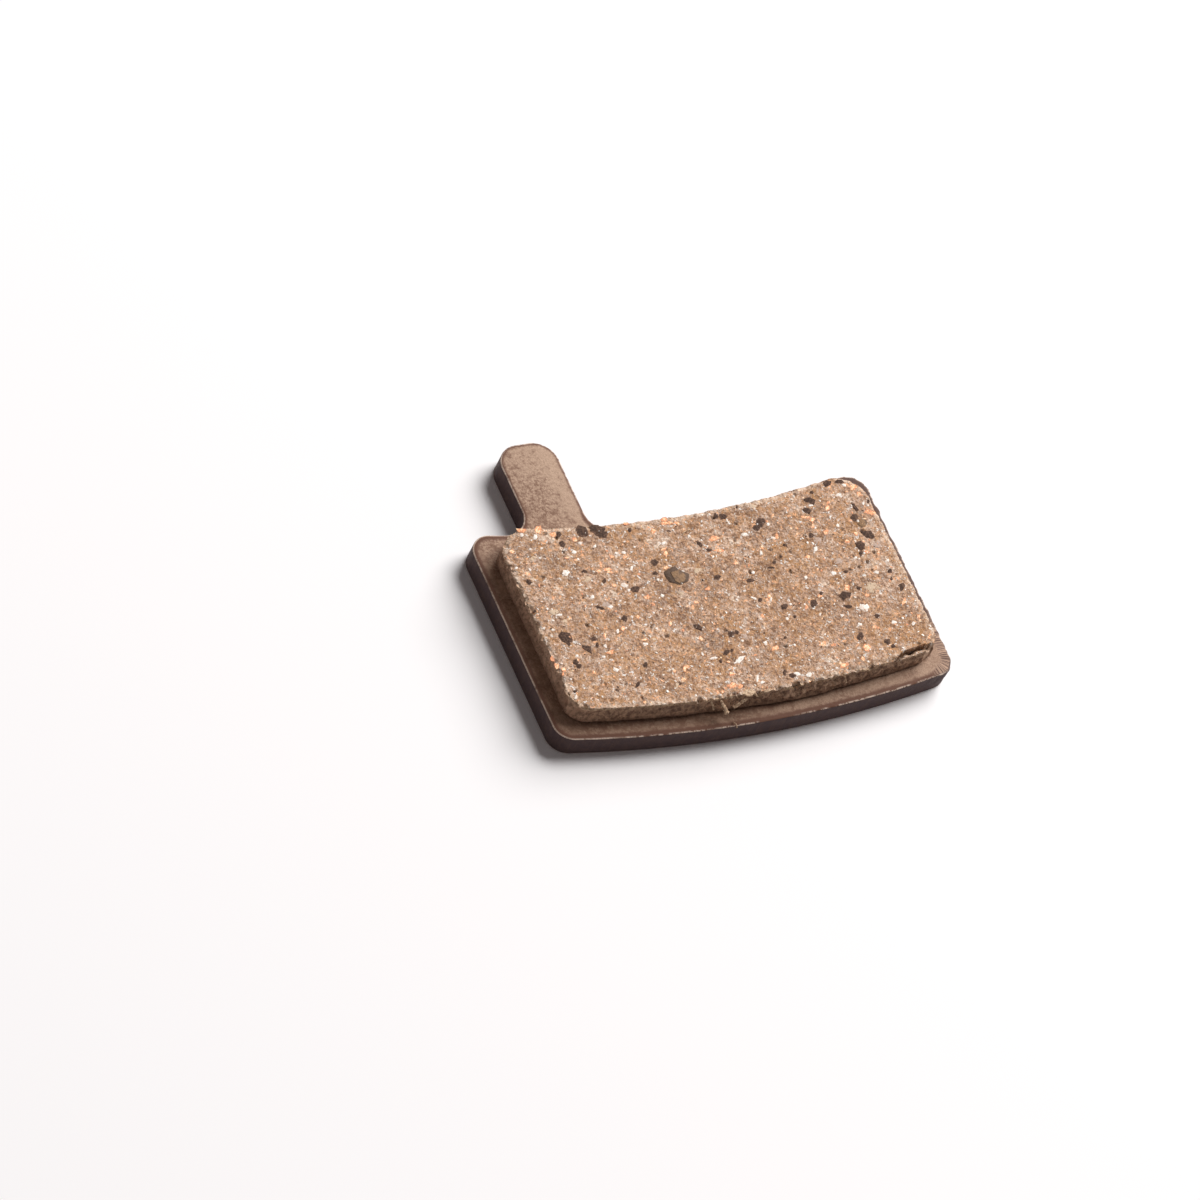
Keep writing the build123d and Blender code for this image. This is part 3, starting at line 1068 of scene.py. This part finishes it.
def copper_finish():
    """Ground copper: pale yellow painted highlights where it is least tarnished, redder and duller where it
    is tarnished.
    """
    material, shader, place = finish_start("ground_copper")
    tarnish = 0.4 * place.noise(1.3, 2.0) + 1.4 * place.noise(4.5, 4.0, 0.8)
    tarnish = tarnish + 0.14 * place.known("rim") - 0.47
    # Painted highlight: the least tarnished parts of a flake are pale yellow.
    colour = tarnish.ramp([
        (0.36, copper_highlight), (0.46, copper_bright), (0.58, copper_red), (0.68, copper_dull),
    ])
    feed(shader, Base_Color=colour, Roughness=0.55 + 0.2 * tarnish, Metallic=0.15,
         Normal=bumped(tarnish, 0.08))
    return material


copper = copper_finish()
copper_flakes = grains_at(copper_flakes_seen, flake_rise, flake_sink, reaches=flake_reaches)
grains_joined("copper_flakes", copper_flakes, copper)
strew("copper_flakes_small", copper, flake_rise, flake_sink, per_square_metre=3.5e5, smallest=0.12,
      largest=0.38, slimmest=0.35, tilt=0.2, edge_margin=0.15, seed=21)

# The white flakes: bright crystals of barite and glass in the compound, split by the grinding. The larger
# ones lie where the photograph shows them, the largest by its corners, and the small ones are strewn.
crystal_white = (0.95, 0.86, 0.77, 1.0)
crystal_cream = (0.8, 0.65, 0.53, 1.0)
crystal_stained = (0.64, 0.46, 0.35, 1.0)
crystals_seen = [
    (522, 535, 6, 4), (535.5, 537, 5, 5), (541.5, 548.5, 3, 3), (574, 552, 5, 4), (580, 543.5, 5, 3),
    (577.5, 559.5, 3, 3), (594.5, 546.5, 4, 4), (623, 552.5, 4, 3), (516, 568, 4, 3), (566, 573, 6, 5),
    (631.5, 569, 3, 7), (624, 585, 7, 5), (629, 590, 3, 3), (592, 597, 5, 3, 20), (610.5, 607, 5, 4),
    (559.5, 615, 5, 3), (768, 524, 4, 3), (744, 534.5, 7, 3), (773, 538, 4, 3), (761, 552.5, 3, 4),
    (713, 557, 3, 3), (663, 543, 4, 3), (670, 566, 4, 2), (659.5, 571, 3, 3), (753, 572.5, 4, 3),
    (754, 598.5, 6, 2, -20), (771, 599.5, 2, 5), (738, 597.5, 3, 3), (662, 595.5, 4, 3), (844, 485, 4, 3),
    (839, 495, 5, 3), (811.5, 505.5, 5, 2), (863.5, 503, 3, 3), (867.5, 505.5, 3, 2), (838, 525.5, 4, 4),
    (815.5, 549, 4, 4), (856, 557.5, 4, 3), (887, 560.5, 4, 3), (877, 572.5, 4, 3), (834, 573, 7, 4),
    (805.5, 577.5, 3, 3), (553, 630, 4, 3), (617.5, 631, 3, 4), (605.5, 646, 3, 4), (577, 656, 3, 3),
    (603.5, 657, 4, 3), (615.5, 669.5, 6, 4), (645.5, 644, 5, 3), (656.5, 629, 3, 3), (663, 659.5, 4, 2),
    (702.5, 654, 3, 4), (714, 658, 7, 3, 8), (740, 659, 11, 5, 30), (742.5, 640.5, 3, 2),
    (765.5, 642.5, 4, 4), (787, 618.5, 3, 3), (820, 614.5, 3, 4), (797, 673.5, 7, 4, -15),
    (808, 674.5, 8, 4), (757.5, 678.5, 3, 9), (762.5, 682.5, 5, 3, 20), (860, 624.5, 4, 4),
    (894.5, 622, 6, 3), (913.5, 623.5, 4, 4), (842, 615.5, 5, 3), (576, 697, 3, 5, -30),
]
large_crystal_seen = [
    (857.5, 608), (861, 609.5), (863.5, 611.5), (867.5, 611.5), (869.5, 607), (867, 603.5), (865, 605),
    (862, 604),
]


def crystal_finish():
    """Clear white mineral with a broken surface."""
    material, shader, place = finish_start("white_mineral")
    frost = place.noise(4.5, 4.0, 0.75) - 0.06 * place.known("rim")
    clear = place.moved(5.0, 1.0, 3.0).noise(0.9, 1.0).step(0.32, 0.5).blend(crystal_cream, crystal_white)
    colour = frost.step(0.35, 0.49).blend(crystal_stained, clear)
    feed(shader, Base_Color=colour, Roughness=0.45, Normal=bumped(frost, 0.06))
    return material


crystal = crystal_finish()
crystals = grains_at(crystals_seen, flake_rise, flake_sink, reaches=flake_reaches)
crystals.append(grain_solid(seen_corners(large_crystal_seen), flake_rise, flake_sink, large_crown))
grains_joined("white_crystals", crystals, crystal)
strew("white_crystals_small", crystal, flake_rise, flake_sink, per_square_metre=7.4e5, smallest=0.12,
      largest=0.42, slimmest=0.25, tilt=0.3, edge_margin=0.15, seed=34)

# The pale grains: soft grey and cream mineral, ground flush, so that they show as patches in the compound and
# hardly rise above it.
pale_rise = 0.008
pale_cream = (0.72, 0.54, 0.38, 1.0)
pale_grey = (0.58, 0.43, 0.35, 1.0)
pale_grains_seen = [
    (876, 544, 10, 7), (872.5, 587.5, 14, 9), (818, 540.5, 7, 6), (752.5, 507, 7, 5), (744, 636, 7, 5),
    (681, 592.5, 7, 6), (699, 571, 9, 6), (554, 612, 9, 5), (565, 622, 5, 5), (587, 579, 9, 6),
    (534, 559, 8, 6), (654, 641, 7, 6), (838, 561, 10, 5), (642, 685, 7, 3), (677, 685, 3, 5),
    (606, 604, 9, 5),
]


def pale_finish():
    """Soft pale mineral, grey or cream, with brown resin in its cracks."""
    material, shader, place = finish_start("pale_mineral")
    cracks = place.noise(3.4, 4.0, 0.75) - 0.07 * place.known("rim")
    sound = place.noise(0.5, 1.0).step(0.46, 0.54).blend(pale_grey, pale_cream)
    colour = cracks.step(0.34, 0.46).blend(compound_umber, sound)
    feed(shader, Base_Color=colour, Roughness=0.8, Specular_IOR_Level=0.15, Normal=bumped(cracks, 0.08))
    return material


grains_joined("pale_grains", grains_at(pale_grains_seen, pale_rise, flake_sink, large_crown), pale_finish())

# The olive grain: one large grain of brown glassy mineral, ground through, with a dark crust round it, and a
# small grain of the same mineral near the block's inner right corner.
olive_rise = 1.8 * grain_rise
olive_crown = 0.9
olive_body = (0.285, 0.163, 0.082, 1.0)
olive_dark = (0.115, 0.07, 0.046, 1.0)
olive_crust_seen = [
    (663.5, 572.0), (665.0, 577.0), (669.5, 582.5), (681.0, 585.0), (688.5, 581.0), (689.5, 574.0),
    (679.0, 569.5), (675.0, 566.0), (670.5, 567.5),
]
olive_body_seen = [
    (669.5, 572.5), (675.0, 582.0), (679.5, 584.0), (684.5, 582.0), (686.5, 577.5), (684.0, 573.5),
    (678.0, 570.0),
]
olive_small_seen = [(862, 523, 9, 9)]


def olive_finish(name, body):
    """Brown glassy mineral, darker in its cracks."""
    material, shader, place = finish_start(name)
    cracks = place.noise(2.2, 4.0, 0.7) - 0.1 * place.known("rim")
    colour = cracks.step(0.38, 0.56).blend(olive_dark, body)
    feed(shader, Base_Color=colour, Roughness=0.6, Specular_IOR_Level=0.15, Normal=bumped(cracks, 0.12))
    return material


crust = [grain_solid(seen_corners(olive_crust_seen), grain_rise, grain_sink, olive_crown)]
grains_joined("olive_grain_crust", crust, olive_finish("olive_crust", olive_dark))
olive = [grain_solid(seen_corners(olive_body_seen), olive_rise, grain_sink, olive_crown)]
olive += grains_at(olive_small_seen, grain_rise, grain_sink)
grains_joined("olive_grain", olive, olive_finish("olive_mineral", olive_body))

# The torn fibres: strands and crumbs of the compound that the wear has pulled loose, most of them out of the
# lower edge, where they still hang. A strand seen is its radius and its route, each point of it a pixel and a
# height in mm.
fibre_sides = 6
fibre_rings = 4
fibre_swing = (0.7, 1.2)
fibre_pale = (0.76, 0.56, 0.38, 1.0)
fibre_brown = (0.42, 0.27, 0.175, 1.0)
strands_seen = [
    (0.07, [(711, 698, 3.75), (711.5, 702, 3.4), (713, 706, 3.1), (713.5, 710, 2.8)]),
    (0.12, [(721.5, 701, 3.7), (722.5, 704, 3.45), (724, 707, 3.2)]),
    (0.2, [(723.5, 706.5, 3.2), (725, 709, 3.0), (727, 714, 2.75)]),
    (0.12, [(734, 707.5, 2.9), (740, 703.5, 3.2), (747, 698.5, 3.6)]),
    (0.06, [(845, 676, 3.75), (845.5, 680, 3.4), (846, 683, 3.2)]),
    (0.05, [(733, 722, 2.05), (736, 724, 2.15), (737, 728, 2.0)]),
    (0.05, [(682.5, 535, 3.75), (684, 532, 3.82), (690, 529.5, 3.78)]),
]
crumbs_seen = [(749, 692.5, 12, 6, 10), (768, 690, 7, 3, 15)]


def strand(radius, route):
    """One uneven strand along given points, each a pixel of the photograph and a height in mm."""
    places = np.array([(*photo_spot(x, y, z), z) for x, y, z in route])
    stops = np.linspace(0.0, 1.0, fibre_rings * len(places))
    given = np.linspace(0.0, 1.0, len(places))
    line = np.column_stack([np.interp(stops, given, places[:, axis]) for axis in range(3)])
    angles = np.arange(fibre_sides) * 2.0 * math.pi / fibre_sides
    rings = []
    for here, along in zip(line, np.gradient(line, axis=0)):
        turn = Vector(along).to_track_quat("Z", "X")
        thick = radius * dice.uniform(*fibre_swing)
        spokes = [Vector((thick * math.cos(angle), thick * math.sin(angle), 0.0)) for angle in angles]
        rings += [here + np.array(turn @ spoke) for spoke in spokes]
    return np.array(rings), ring_faces(len(line), fibre_sides), np.zeros(len(rings))


def fibre_finish():
    """Frayed fibre, brown with pale patches."""
    material, shader, place = finish_start("torn_fibre")
    shade = place.noise(4.0, 3.0, 0.7)
    colour = shade.step(0.4, 0.6).blend(fibre_brown, fibre_pale)
    feed(shader, Base_Color=colour, Roughness=0.9, Specular_IOR_Level=0.1, Normal=bumped(shade, 0.1))
    return material


fibres = [strand(radius, route) for radius, route in strands_seen]
fibres += grains_at(crumbs_seen, flake_rise, grain_sink)
grains_joined("torn_fibres", fibres, fibre_finish())
